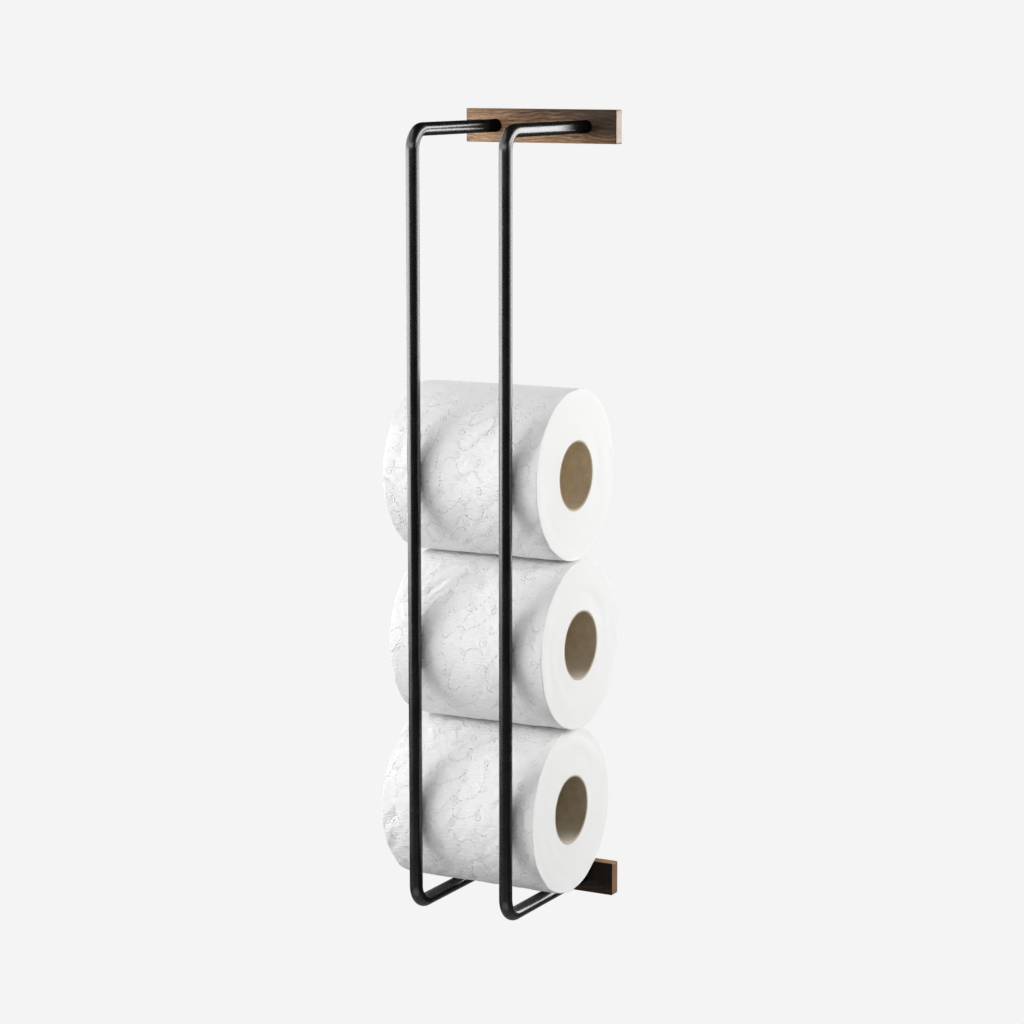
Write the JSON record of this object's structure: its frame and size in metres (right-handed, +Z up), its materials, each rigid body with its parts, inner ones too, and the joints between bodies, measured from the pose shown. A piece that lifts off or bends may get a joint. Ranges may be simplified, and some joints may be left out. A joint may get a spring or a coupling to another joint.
{
  "type": "toilet paper holder",
  "caption": "Tall open wall rack of bent black steel rods between dark wooden bars, holding a stack of toilet rolls that slide out sideways.",
  "frame": {"origin": "on the wall plane, at the centre of the two keyhole entries, midway between the two wooden bars", "axes": "+Z up along the upright rods, +Y into the wall, +X to the right as seen from the front"},
  "size_m": [0.1104, 0.1145, 0.49],
  "materials": {
    "black_powder_coat": "satin",
    "smoked_oak": "matte",
    "plated_steel": "satin",
    "black_screw_steel": "satin",
    "tissue": "matte",
    "core_board": "matte"
  },
  "bodies": {
    "rack": {"rod_left": "black_powder_coat", "rod_right": "black_powder_coat", "bar_top": "smoked_oak", "keyhole_plate_top": "plated_steel", "bar_bottom": "smoked_oak", "keyhole_plate_bottom": "plated_steel", "rod_screw_top_left": "black_screw_steel", "plate_screw_top_left": "plated_steel", "rod_screw_top_right": "black_screw_steel", "plate_screw_top_right": "plated_steel", "rod_screw_bottom_left": "black_screw_steel", "plate_screw_bottom_left": "plated_steel", "rod_screw_bottom_right": "black_screw_steel", "plate_screw_bottom_right": "plated_steel"},
    "roll_bottom": {"roll_paper_bottom": "tissue", "roll_core_bottom": "core_board"},
    "roll_middle": {"roll_paper_middle": "tissue", "roll_core_middle": "core_board"},
    "roll_top": {"roll_paper_top": "tissue", "roll_core_top": "core_board"}
  },
  "joints": [
    {"name": "bottom_roll_slide", "type": "slide", "parent": "rack", "child": "roll_bottom", "axis": [1, 0, 0], "range_m": [-0.11, 0.11]},
    {"name": "middle_roll_slide", "type": "slide", "parent": "rack", "child": "roll_middle", "axis": [1, 0, 0], "range_m": [-0.11, 0.11]},
    {"name": "top_roll_slide", "type": "slide", "parent": "rack", "child": "roll_top", "axis": [1, 0, 0], "range_m": [-0.11, 0.11]}
  ]
}
